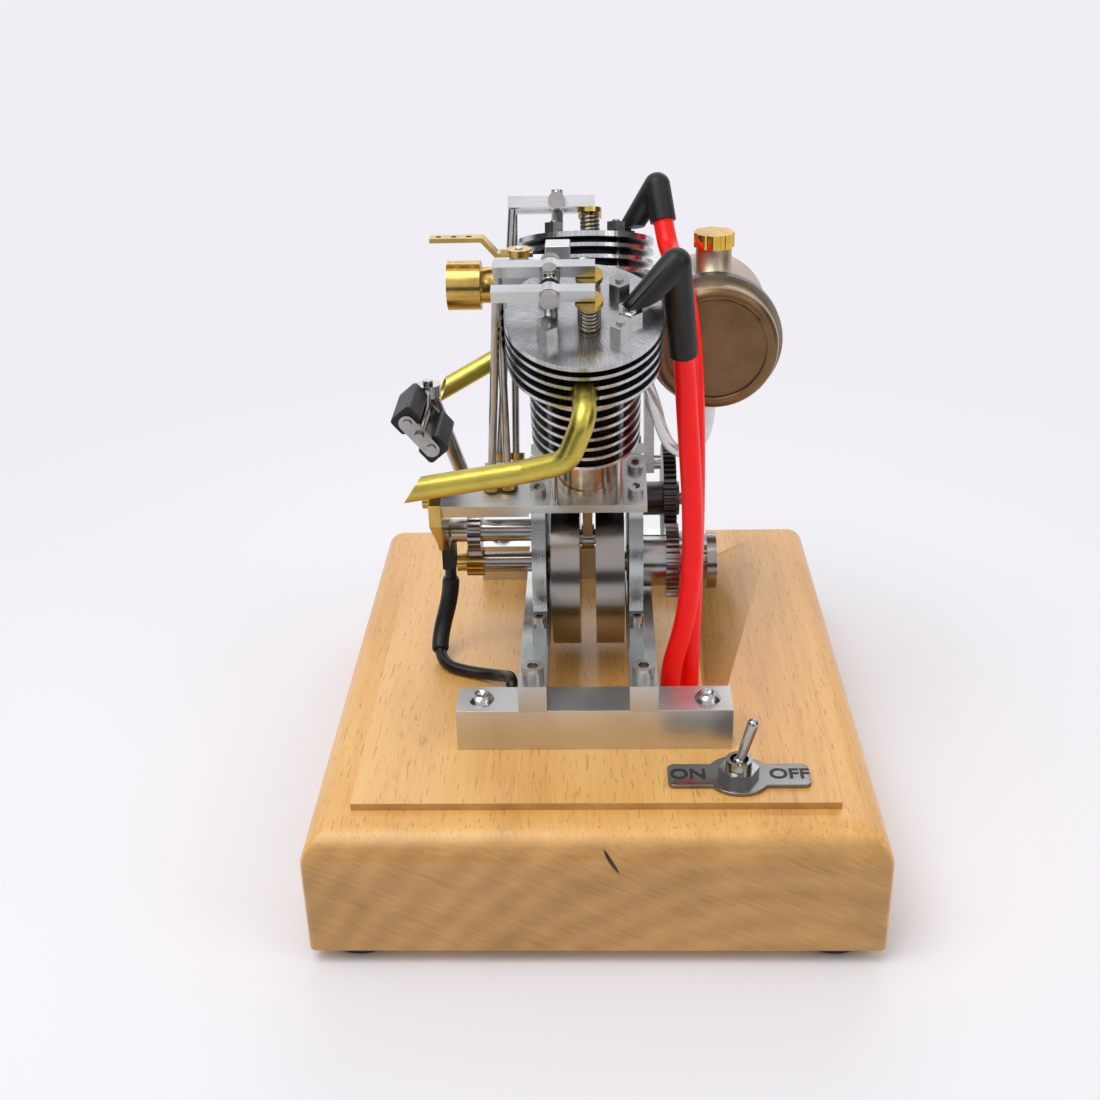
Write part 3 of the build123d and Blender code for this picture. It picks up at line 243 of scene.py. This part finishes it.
def beech():
    """Oiled beech: bands and short flecks along the grain, growth-ring arcs on the end grain, one small crack."""
    paint = Paint("oiled_beech", Coat_Weight=0.2, Coat_Roughness=0.25)
    bands = paint.noise(paint.place(scale=(1.0, 9.0, 1.0)), 0.016, 3.0, 0.55, 0.25)
    fibre = paint.noise(paint.place(scale=(1.0, 22.0, 1.0)), 0.0011, 3.0, 0.6)
    flecks = paint.noise(paint.place(scale=(0.6, 6.0, 0.6)), 0.0008, 2.0, 0.45)
    facing = paint.node("ShaderNodeNewGeometry", {}, {})[1]
    ends = paint.node("ShaderNodeSeparateXYZ", {}, [facing])[1].maths("ABSOLUTE")
    ends = ((ends - 0.55) * 4.0).clamped()
    rings = paint.node("ShaderNodeTexWave", {"wave_type": "RINGS", "rings_direction": "Y"},
                       {"Vector": paint.place(location=RING_HEART), "Scale": 42.0, "Distortion": 3.0,
                        "Detail": 3.0, "Detail Scale": 1.4})[1]
    rays = paint.noise(paint.place(turn=(0.0, RAY_SLOPE, 0.0), scale=(14.0, 1.0, 1.0)), 0.0007, 2.0)
    tan = paint.ramp(bands, [(0.28, (0.55, 0.25, 0.055)), (0.5, (0.72, 0.365, 0.09)), (0.74, (0.84, 0.48, 0.15))])
    tan = paint.blend(paint.ramp(fibre, [(0.35, grey(0.0)), (0.7, grey(0.42))]), tan, (0.86, 0.52, 0.19))
    mask = paint.ramp(flecks, [(0.61, grey(0.0)), (0.68, grey(0.5))])
    tan = paint.blend(mask, tan, (0.36, 0.15, 0.04))
    end_tan = paint.ramp(rings * 0.12 + rays * 0.38 + bands * 0.5,
                         [(0.3, (0.36, 0.175, 0.045)), (0.7, (0.56, 0.31, 0.095))])
    wood = paint.blend(ends, tan, end_tan)
    crack_at = paint.place(location=CRACK, turn=(0.0, CRACK_LEAN, 0.0), scale=CRACK_SIZE)
    away = paint.node("ShaderNodeVectorMath", {"operation": "LENGTH"}, [crack_at])[1]
    crack = ((1.0 - away) * 4.0).clamped()
    paint.set("Base Color", paint.blend(crack, wood, (0.03, 0.012, 0.005)))
    paint.set("Roughness", fibre * 0.2 + 0.28)
    paint.bump(fibre * 0.5 - flecks * 0.5 - crack, 0.00006, 0.5)
    return paint.material


def rubber(name, colour, rough, grain=0.0006, sheen=0.0):
    paint = Paint(name, Specular_IOR_Level=0.4)
    dust = paint.noise(paint.place(), 0.004, 4.0)
    skin = paint.noise(paint.place(), grain, 2.0)
    light = tuple(c * 1.6 + 0.004 for c in colour)
    paint.set("Base Color", paint.ramp(dust, [(0.4, colour), (0.8, light)]))
    paint.set("Roughness", dust * 0.15 + skin * 0.1 + (rough - 0.12))
    paint.bump(skin, 0.00003, 0.4)
    return paint.material


def silicone():
    """Bright red silicone lead: glossy, with a faint red emission as a painted glow."""
    paint = Paint("red_silicone", Coat_Weight=0.06, Coat_Roughness=0.2, Specular_IOR_Level=0.3)
    cloud = paint.noise(paint.place(), 0.006, 2.0)
    paint.set("Base Color", paint.ramp(cloud, [(0.3, (0.80, 0.0015, 0.001)), (0.7, (0.92, 0.003, 0.002))]))
    paint.set("Roughness", cloud * 0.1 + 0.30)
    # painted glow: a faint red emission that brightens the lead, though it is no lamp
    paint.set("Emission Color", (0.9, 0.002, 0.001))
    paint.set("Emission Strength", 0.12)
    return paint.material


def clear_hose():
    paint = Paint("clear_hose", Transmission_Weight=0.75, IOR=1.4)
    cloud = paint.noise(paint.place(), 0.004, 2.0)
    paint.set("Base Color", paint.ramp(cloud, [(0.3, (0.80, 0.82, 0.80)), (0.7, (0.93, 0.94, 0.93))]))
    paint.set("Roughness", cloud * 0.1 + 0.12)
    return paint.material


TANK_FACE = 6.1 * MM
TANK_RING = (11.4 * MM, 14.6 * MM)


def tank_paint():
    """Champagne bronze on a spun tank: fine metallic, darker and browner across the front."""
    paint = Paint("tank_bronze", Metallic=0.85)
    cloud = paint.noise(paint.place(), 0.010, 4.0, 0.6)
    fine = paint.noise(paint.place(), 0.0005, 2.0)
    depth = paint.node("ShaderNodeSeparateXYZ", {}, [paint.place()])[1]
    body = paint.ramp(cloud * 0.8 + fine * 0.2, [(0.3, (0.34, 0.25, 0.16)), (0.7, (0.52, 0.43, 0.32))])
    brown = paint.ramp(cloud, [(0.3, (0.155, 0.085, 0.035)), (0.7, (0.25, 0.15, 0.075))])
    face = ((TANK_FACE - depth) * 4000.0).clamped()
    ring = ((depth - TANK_RING[0]) * 4000.0).clamped() * ((TANK_RING[1] - depth) * 4000.0).clamped()
    paint.set("Base Color", paint.blend(ring, paint.blend(face, body, brown), (0.10, 0.105, 0.11)))
    paint.set("Roughness", cloud * 0.2 + 0.26)
    paint.bump(fine, 0.00001, 0.3)
    return paint.material


ALUMINIUM = machined("milled_aluminium", (0.68, 0.70, 0.70), 0.34, "X")
RAIL_METAL = machined("milled_rail", (0.60, 0.62, 0.61), 0.32, "Y")
PLATE_METAL = machined("milled_plate", (0.56, 0.58, 0.57), 0.28, "Z")
STEEL = polished("polished_steel", (0.44, 0.42, 0.40), 0.20)
WEB_STEEL = machined("ground_steel", (0.36, 0.33, 0.30), 0.20, "Y")
SPRING_STEEL = polished("spring_steel", (0.34, 0.29, 0.24), 0.22)
DARK_STEEL = polished("gear_steel", (0.13, 0.13, 0.125), 0.34)
SCREW_STEEL = polished("screw_steel", (0.48, 0.47, 0.455), 0.20)
BRASS = polished("polished_brass", (0.62, 0.42, 0.11), 0.22)
RAW_BRASS = machined("drawn_brass", (0.68, 0.56, 0.11), 0.34, "X", 0.14, 0.0005)
BRONZE = polished("bronze_bush", (0.60, 0.42, 0.22), 0.25)
PLATE_CHROME = polished("plate_nickel", (0.26, 0.255, 0.25), 0.18)
GOLD = polished("gold_plate", (0.85, 0.54, 0.09), 0.14)
CHROME = polished("nickel_plate", (0.46, 0.455, 0.44), 0.15)
BLACK_RUBBER = rubber("boot_rubber", (0.0035, 0.0035, 0.004), 0.45)
FOOT_RUBBER = rubber("foot_rubber", (0.003, 0.003, 0.0035), 0.5)
PEDAL_RUBBER = rubber("pedal_rubber", (0.007, 0.0075, 0.0085), 0.45)
CABLE_SKIN = rubber("cable_skin", (0.003, 0.003, 0.0033), 0.32, 0.0012)
RED = silicone()
CLEAR = clear_hose()
TANK = tank_paint()
WOOD = beech()
FIN_METAL = {(node, name): turned(f"{name}_{node}_metal", side, rim, (0.62, 0.64, 0.65))
             for node, rim in (("cylinder_heads", HEAD_RIM), ("cylinder_barrels", BARREL_RIM))
             for name, side in SIDES.items()}

NODE_FINISH = {
    "wood_base": WOOD, "ignition_box": BLACK_RUBBER, "rubber_feet": FOOT_RUBBER, "cross_bars": ALUMINIUM,
    "bar_screws": SCREW_STEEL, "side_rails": RAIL_METAL, "frame_screws": SCREW_STEEL, "side_plates": PLATE_METAL,
    "main_bearings": BRONZE, "deck_plates": ALUMINIUM, "tappet_blocks": ALUMINIUM, "tappet_guides": BRASS,
    "gear_end_plate": BRASS, "head_studs": SCREW_STEEL, "head_nuts": SCREW_STEEL, "exhaust_pipes": RAW_BRASS,
    "spark_plugs": SCREW_STEEL, "plug_boots": BLACK_RUBBER, "rocker_stands": STEEL, "carburettor_body": ALUMINIUM,
    "intake_bell": BRASS, "intake_manifold": STEEL, "fuel_tank": TANK, "tank_bracket": PLATE_METAL,
    "pickup_sensor": BLACK_RUBBER, "switch_body": CHROME, "switch_plate": PLATE_CHROME, "switch_nut": CHROME,
    "crankshaft": WEB_STEEL, "crank_pinion": BRASS, "camshaft": STEEL, "starter_clutch": STEEL,
    "kick_gear": DARK_STEEL, "kick_arm": STEEL, "pedal_frame": STEEL, "pedal_rubbers": PEDAL_RUBBER,
    "front_piston": STEEL, "rear_piston": STEEL, "throttle_lever": BRASS, "fuel_cap": GOLD, "switch_lever": CHROME,
}
CORD_NODES = {"front_plug_lead", "rear_plug_lead", "pickup_lead", "fuel_hose", "valve_springs"}
SPLIT_NODES = {"cylinder_heads", "cylinder_barrels"}
BEVELS = {"cross_bars": 0.25, "side_rails": 0.25, "side_plates": 0.22, "deck_plates": 0.2, "tappet_blocks": 0.2,
          "tank_bracket": 0.2, "gear_end_plate": 0.2, "switch_plate": 0.25, "carburettor_body": 0.3}
BODY_OF = {node: body for body, members in frame["record"]["behaviour"]["bodies"].items() for node in members}


def link(name, mesh, material, body):
    piece = bpy.data.objects.new(name, mesh)
    bpy.context.scene.collection.objects.link(piece)
    mesh.materials.clear()
    mesh.materials.append(material)
    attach(piece, body)
    return piece


def merged_mesh(node):
    """A copy of a CAD node's mesh with its loose triangles joined and its flat faces whole."""
    bm = bmesh.new()
    bm.from_mesh(frame["nodes"][node].data)
    bmesh.ops.remove_doubles(bm, verts=bm.verts, dist=2e-6)
    bmesh.ops.dissolve_limit(bm, angle_limit=math.radians(0.6), verts=bm.verts, edges=bm.edges)
    return bm


def smooth(mesh, angle=32.0):
    for polygon in mesh.polygons:
        polygon.use_smooth = True
    mesh.set_sharp_from_angle(angle=math.radians(angle))


def refine(node, material):
    """Stands for a CAD node with smooth curved faces, and eased edges on the milled pieces."""
    bm = merged_mesh(node)
    mesh = bpy.data.meshes.new(f"{node}_finished")
    bm.to_mesh(mesh)
    bm.free()
    smooth(mesh)
    piece = link(f"{node}_finished", mesh, material, BODY_OF[node])
    if node in BEVELS:
        ease = piece.modifiers.new("eased_edges", "BEVEL")
        ease.width = BEVELS[node] * MM
        ease.segments = 2
        ease.limit_method = "ANGLE"
        ease.angle_limit = math.radians(38)
        ease.harden_normals = True
    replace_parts(piece, node)
    return piece


def split_by_cylinder(node):
    """A node that holds a front and a rear solid becomes two pieces, each turned about its own axis."""
    for name, side in SIDES.items():
        bm = merged_mesh(node)
        gone = [v for v in bm.verts if v.co.y * side < 0]
        bmesh.ops.delete(bm, geom=gone, context="VERTS")
        mesh = bpy.data.meshes.new(f"{name}_{node}")
        bm.to_mesh(mesh)
        bm.free()
        smooth(mesh)
        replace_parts(link(f"{name}_{node}", mesh, FIN_METAL[node, name], BODY_OF[node]), node)


for node_name in frame["nodes"]:
    if node_name in CORD_NODES:
        continue
    if node_name in SPLIT_NODES:
        split_by_cylinder(node_name)
    elif node_name.endswith("_rocker"):
        refine(node_name, ALUMINIUM)
    elif node_name.endswith("_valve"):
        refine(node_name, BRASS)
    elif node_name.endswith("_pushrod"):
        refine(node_name, STEEL)
    else:
        refine(node_name, NODE_FINISH[node_name])


def bare_mesh(name, curve):
    """The mesh of a curve, leaving no helper object behind."""
    helper = bpy.data.objects.new(f"{name}_helper", curve)
    mesh = bpy.data.meshes.new_from_object(helper)
    bpy.data.objects.remove(helper)
    mesh.name = name
    return mesh


# ---- leads, cable and hose
def nurbs(name, points, radius):
    curve = bpy.data.curves.new(name, "CURVE")
    curve.dimensions = "3D"
    curve.bevel_depth = radius
    curve.bevel_resolution = 6
    curve.resolution_u = 10
    curve.use_fill_caps = True
    spline = curve.splines.new("NURBS")
    spline.points.add(len(points) - 1)
    for place, point in zip(spline.points, points):
        place.co = (*[c * MM for c in point], 1.0)
    spline.order_u = 3
    spline.use_endpoint_u = True
    piece = bpy.data.objects.new(name, curve)
    bpy.context.scene.collection.objects.link(piece)
    return piece


# ---- heat-shrink sleeve round the upper part of the pickup lead
SLEEVE_START, SLEEVE_END = 0.04, 0.36
SLEEVE_RADIUS = 2.2 * MM
SLEEVE_SIDES = 24


def sleeve(cord):
    """A short thick tube that follows the lead's own spline."""
    line = cord.data.copy()
    line.bevel_depth = 0.0
    mesh = bare_mesh("sleeve_line", line)
    points = [vertex.co.copy() for vertex in mesh.vertices]
    points = points[int(len(points) * SLEEVE_START):int(len(points) * SLEEVE_END)]
    bm = bmesh.new()
    rings = []
    for index, point in enumerate(points):
        ahead = (points[min(index + 1, len(points) - 1)] - points[max(index - 1, 0)]).normalized()
        first = ahead.cross(Vector((1, 0, 0))).normalized()
        second = ahead.cross(first)
        ease = 0.86 if index in (0, len(points) - 1) else 1.0
        rings.append([bm.verts.new(point + SLEEVE_RADIUS * ease * (first * math.cos(turn) + second * math.sin(turn)))
                      for turn in (2 * math.pi * k / SLEEVE_SIDES for k in range(SLEEVE_SIDES))])
    for low, high in zip(rings, rings[1:]):
        for k in range(SLEEVE_SIDES):
            bm.faces.new((low[k], low[(k + 1) % SLEEVE_SIDES], high[(k + 1) % SLEEVE_SIDES], high[k]))
    bm.faces.new(rings[0])
    bm.faces.new(rings[-1])
    bmesh.ops.recalc_face_normals(bm, faces=bm.faces)
    made = bpy.data.meshes.new("pickup_sleeve")
    bm.to_mesh(made)
    bm.free()
    smooth(made)
    return link("pickup_sleeve", made, BLACK_RUBBER, "frame")


# ---- the four routes, point for point as in the CAD, in millimetres
FRONT_LEAD = [(20.5, -21.53, 126.84), (21.3, -19.05, 119.27), (21.9, -19.6, 109.0), (22.9, -20.6, 96.0),
              (23.7, -21.2, 82.0), (23.6, -22.0, 68.0), (22.0, -23.8, 56.0), (19.0, -26.6, 47.0),
              (18.4, -28.6, 41.5), (18.4, -28.6, 36.7)]
REAR_LEAD = [(17.53, 27.0, 145.21), (18.78, 23.26, 138.25), (19.8, 18.6, 135.8), (20.8, 12.5, 135.0),
             (22.2, 3.0, 131.6), (23.4, -5.5, 123.0), (24.0, -11.2, 110.5), (24.3, -14.4, 96.0),
             (24.4, -15.4, 81.0), (24.3, -16.0, 66.0), (24.0, -18.2, 53.0), (23.4, -22.2, 43.5),
             (23.4, -22.2, 36.7)]
PICKUP_LEAD = [(-36.9, 0.3, 60.6), (-36.9, 0.3, 55.5), (-38.0, -0.6, 49.5), (-39.8, -2.9, 43.6),
               (-40.2, -7.4, 39.4), (-37.9, -12.6, 38.3), (-32.6, -15.4, 38.25), (-26.6, -17.6, 38.6),
               (-22.4, -21.2, 40.2), (-20.5, -26.0, 43.0), (-20.0, -30.6, 42.6), (-20.0, -30.6, 36.7)]
FUEL_HOSE = [(30.2, 20.0, 97.35), (30.15, 19.9, 92.5), (28.6, 18.2, 87.6), (24.6, 13.8, 85.2), (20.0, 9.6, 88.5),
             (17.2, 6.4, 95.0), (15.6, 3.6, 103.0), (12.6, 1.6, 111.0), (8.0, 0.4, 118.0), (2.4, 0.1, 123.0),
             (-3.2, 0.0, 124.2), (-7.2, 0.0, 125.0), (-8.4, 0.0, 126.6), (-8.4, 0.0, 129.58)]
CORDS = {"front_plug_lead": (FRONT_LEAD, 2.5, 0.0915, RED, "medium"),
         "rear_plug_lead": (REAR_LEAD, 2.5, 0.130, RED, "medium"),
         "pickup_lead": (PICKUP_LEAD, 1.5, 0.061, CABLE_SKIN, "medium"),
         "fuel_hose": (FUEL_HOSE, 1.5, 0.077, CLEAR, "medium")}
for cord_name, (route, thick, long, skin, stiff) in CORDS.items():
    cord = nurbs(f"{cord_name}_cord", route, thick * MM)
    cord.data.materials.append(skin)
    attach(cord, "frame")
    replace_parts(cord, cord_name)
    extras = [sleeve(cord)] if cord_name == "pickup_lead" else []
    tuple(c * MM for c in route[0])
    2 * thick * MM


# ---- coil springs under the valve retainers
SPRING_TURNS = 5.5
SPRING_REACH = 2.15 * MM
SPRING_WIRE = 0.36 * MM
SPRING_CLEAR = 0.03 * MM
SPRING_TALL = 6.2 * MM
STEPS_A_TURN = 20


def coil(name, side, s):
    """A valve spring between the head and its brass retainer."""
    curve = bpy.data.curves.new(f"{name}_line", "CURVE")
    curve.dimensions = "3D"
    curve.bevel_depth = SPRING_WIRE
    curve.bevel_resolution = 3
    curve.use_fill_caps = True
    spline = curve.splines.new("POLY")
    count = int(SPRING_TURNS * STEPS_A_TURN)
    spline.points.add(count)
    start = at(side, VALVE_X, s, HEAD_TOP + SPRING_WIRE + SPRING_CLEAR)
    origin = at(side, 0, 0, 0)
    out, up = at(side, 0, 1, 0) - origin, at(side, 0, 0, 1) - origin
    rise = SPRING_TALL - 2 * (SPRING_WIRE + SPRING_CLEAR)
    for index, point in enumerate(spline.points):
        angle = 2 * math.pi * index / STEPS_A_TURN
        sideways = SPRING_REACH * (Vector((1, 0, 0)) * math.cos(angle) + out * math.sin(angle))
        point.co = (*(start + sideways + up * rise * index / count), 1.0)
    mesh = bare_mesh(name, curve)
    smooth(mesh, 60)
    return link(name, mesh, SPRING_STEEL, "frame")


for cylinder, side in SIDES.items():
    for role, s in (("outer", VALVE_S), ("inner", -VALVE_S)):
        spring = coil(f"{cylinder}_{role}_spring", side, s)
        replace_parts(spring, "valve_springs")
        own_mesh(spring)


# ---- lettering on the switch plate
INK = Paint("stamped_letters", Roughness=0.6)
INK.set("Base Color", INK.ramp(INK.noise(INK.place(), 0.0008), [(0.3, grey(0.006)), (0.8, grey(0.03))]))


def letters(text, x, y, size):
    low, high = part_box("switch_plate")
    curve = bpy.data.curves.new(f"letters_{text}", "FONT")
    curve.body = text
    curve.size = size
    curve.extrude = 0.00004
    curve.offset = 0.00012
    curve.align_x = "CENTER"
    curve.align_y = "CENTER"
    mesh = bare_mesh(f"letters_{text}", curve)
    mesh.transform(Matrix.Translation((x, y, high.z + 0.00004)))
    link(f"letters_{text}", mesh, INK.material, "frame")


plate_low, plate_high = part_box("switch_plate")
plate_mid = (plate_low + plate_high) / 2
LETTER_OFFSET = 11.4 * MM
letters("ON", plate_mid.x - LETTER_OFFSET, plate_mid.y, 5.2 * MM)
letters("OFF", plate_mid.x + LETTER_OFFSET, plate_mid.y, 5.2 * MM)


# ---- camera, floor and light
def camera():
    data = bpy.data.cameras.new("camera")
    data.lens = 47.12
    data.sensor_width = 36.0
    data.clip_start = 0.01
    eye = bpy.data.objects.new("camera", data)
    heading = Euler((0, 0, math.radians(2.21))).to_matrix()
    pitch = Euler((math.radians(90 - 26.37), 0, 0)).to_matrix()
    roll = Euler((0, 0, math.radians(-1.505))).to_matrix()
    eye.matrix_world = Matrix.Translation((1.615 * MM, -329.73 * MM, 228.44 * MM)) @ (heading @ pitch @ roll).to_4x4()
    bpy.context.scene.collection.objects.link(eye)
    bpy.context.scene.camera = eye


def seen_rays(tree):
    """1 for camera, glossy and transmission rays."""
    path = tree.nodes.new("ShaderNodeLightPath")
    total = None
    for output in ("Is Camera Ray", "Is Glossy Ray", "Is Transmission Ray"):
        if total is None:
            total = path.outputs[output]
            continue
        add = tree.nodes.new("ShaderNodeMath")
        add.operation = "MAXIMUM"
        tree.links.new(total, add.inputs[0])
        tree.links.new(path.outputs[output], add.inputs[1])
        total = add.outputs[0]
    return total


BACKDROP = (0.87, 0.855, 0.905, 1.0)
FLOOR_PALE = (0.84, 0.83, 0.87)
SHADOW_REACH = 0.16
FLOOR_FADE = 0.16
AMBIENT = 0.62


def surroundings():
    world = bpy.data.worlds.new("studio")
    bpy.context.scene.world = world
    world.use_nodes = True
    tree = world.node_tree
    tree.nodes.clear()
    seen, unseen = (tree.nodes.new("ShaderNodeBackground") for _ in range(2))
    seen.inputs[0].default_value, seen.inputs[1].default_value = BACKDROP, 1.0
    unseen.inputs[0].default_value, unseen.inputs[1].default_value = WHITE, AMBIENT
    mix, out = tree.nodes.new("ShaderNodeMixShader"), tree.nodes.new("ShaderNodeOutputWorld")
    tree.links.new(seen_rays(tree), mix.inputs[0])
    tree.links.new(unseen.outputs[0], mix.inputs[1])
    tree.links.new(seen.outputs[0], mix.inputs[2])
    tree.links.new(mix.outputs[0], out.inputs[0])


def flat_sheet(name, corners_at, material):
    bm = bmesh.new()
    bmesh.ops.create_grid(bm, x_segments=1, y_segments=1, size=0.5)
    bmesh.ops.transform(bm, matrix=corners_at, verts=bm.verts)
    mesh = bpy.data.meshes.new(name)
    bm.to_mesh(mesh)
    bm.free()
    mesh.materials.append(material)
    sheet = bpy.data.objects.new(name, mesh)
    bpy.context.scene.collection.objects.link(sheet)
    return sheet


def floor():
    """A pale floor that takes the object's shadow and runs out into the backdrop's own colour."""
    paint = Paint("floor", Roughness=0.95, Specular_IOR_Level=0.1)
    paint.set("Base Color", (*FLOOR_PALE, 1.0))
    tree = paint.tree
    spread = paint.node("ShaderNodeVectorMath", {"operation": "LENGTH"}, [paint.place()])[1]
    far = ((spread - SHADOW_REACH) * (1 / FLOOR_FADE)).clamped()
    glow, mix = tree.nodes.new("ShaderNodeEmission"), tree.nodes.new("ShaderNodeMixShader")
    glow.inputs[0].default_value = BACKDROP
    output = next(n for n in tree.nodes if n.type == "OUTPUT_MATERIAL")
    seen = Value(paint, seen_rays(tree))
    tree.links.new((far * seen).socket, mix.inputs[0])
    tree.links.new(paint.shader.outputs[0], mix.inputs[1])
    tree.links.new(glow.outputs[0], mix.inputs[2])
    tree.links.new(mix.outputs[0], output.inputs[0])
    flat_sheet("floor", Matrix.Diagonal((6.0, 6.0, 1.0, 1.0)), paint.material)


def dark_card(name, place, turn, size):
    """A card out of sight that gives the bright metal something dark to reflect."""
    paint = Paint(f"{name}_black", Roughness=0.9)
    paint.set("Base Color", (0.02, 0.02, 0.02, 1.0))
    matrix = Matrix.Translation(place) @ Euler(turn).to_matrix().to_4x4() @ Matrix.Diagonal((*size, 1.0, 1.0))
    card = flat_sheet(name, matrix, paint.material)
    card.visible_camera = False
    card.visible_diffuse = False
    card.visible_shadow = False


def lamp(name, place, target, size, power, colour=(1, 1, 1)):
    data = bpy.data.lights.new(name, "AREA")
    data.shape = "RECTANGLE"
    data.size, data.size_y = size
    data.energy = power
    data.color = colour
    light = bpy.data.objects.new(name, data)
    aim = (Vector(target) - Vector(place)).to_track_quat("-Z", "Y")
    light.matrix_world = Matrix.Translation(place) @ aim.to_matrix().to_4x4()
    bpy.context.scene.collection.objects.link(light)


camera()
surroundings()
floor()
lamp("key", (-0.30, -0.30, 0.90), (0, 0, 0.06), (0.6, 0.6), 4.2)
lamp("fill", (0.75, -0.45, 0.55), (0, 0, 0.08), (0.5, 0.5), 1.2)
lamp("back", (0.1, 0.8, 0.6), (0, 0, 0.1), (0.9, 0.4), 2.0)
dark_card("left_card", (-0.45, -0.15, 0.22), (0, math.radians(90), 0), (0.34, 0.5))
dark_card("right_card", (0.45, -0.1, 0.22), (0, math.radians(90), 0), (0.34, 0.5))
dark_card("front_card", (0.0, -0.75, 0.10), (math.radians(90), 0, 0), (0.9, 0.3))
dark_card("back_card", (0.0, 0.55, 0.42), (math.radians(60), 0, 0), (0.7, 0.16))
bpy.context.scene.view_settings.view_transform = "Standard"
